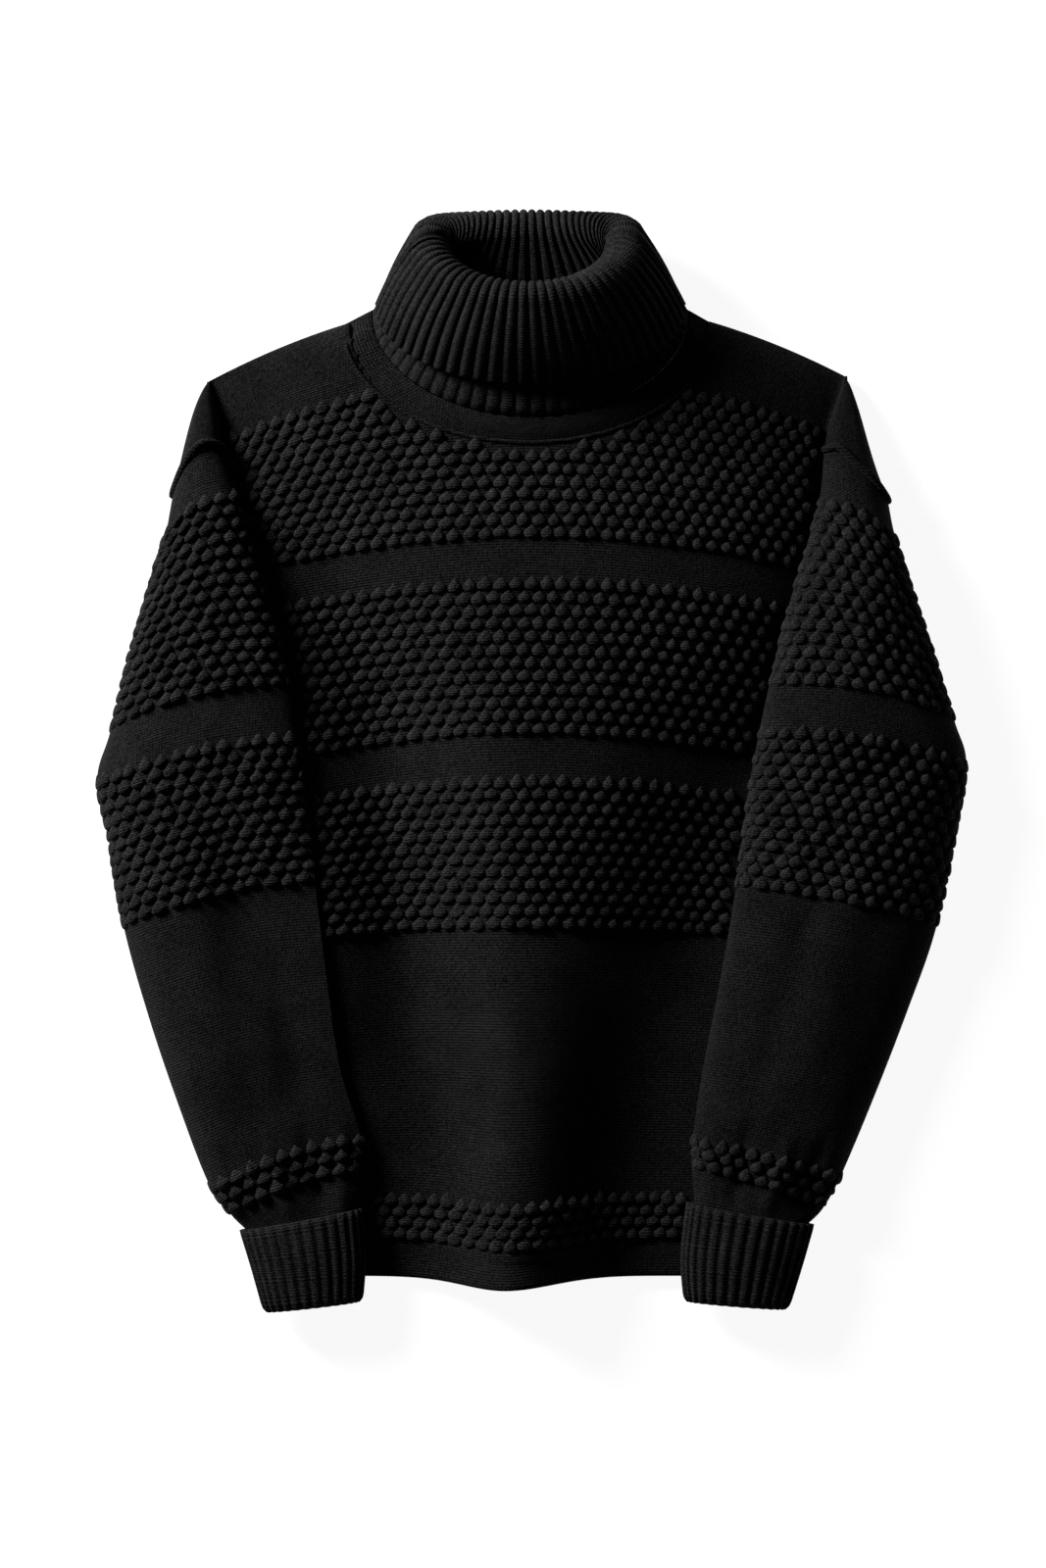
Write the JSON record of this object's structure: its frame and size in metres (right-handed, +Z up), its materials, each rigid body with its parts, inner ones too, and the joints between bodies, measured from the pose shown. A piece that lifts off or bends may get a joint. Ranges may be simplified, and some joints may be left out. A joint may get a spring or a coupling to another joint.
{
  "type": "turtleneck sweater",
  "caption": "Long-sleeved knitted sweater laid flat, with bobble bands, a ribbed turned-down collar and turned-back ribbed cuffs.",
  "frame": {"origin": "on the surface the sweater lies on, under the middle of its box", "axes": "+Z up from the surface, +Y towards the neck, +X to the right seen from above"},
  "size_m": [0.6096, 0.7708, 0.078],
  "materials": {
    "knit": "soft black wool in plain knit with raised bobbles",
    "rib": "black wool in narrow ribs"
  },
  "bodies": {
    "root": {"back_panel": "knit", "front_panel": "knit", "left_sleeve": "knit", "right_sleeve": "knit", "left_cuff": "rib", "right_cuff": "rib", "neck_band": "knit", "collar": "rib"}
  },
  "joints": []
}
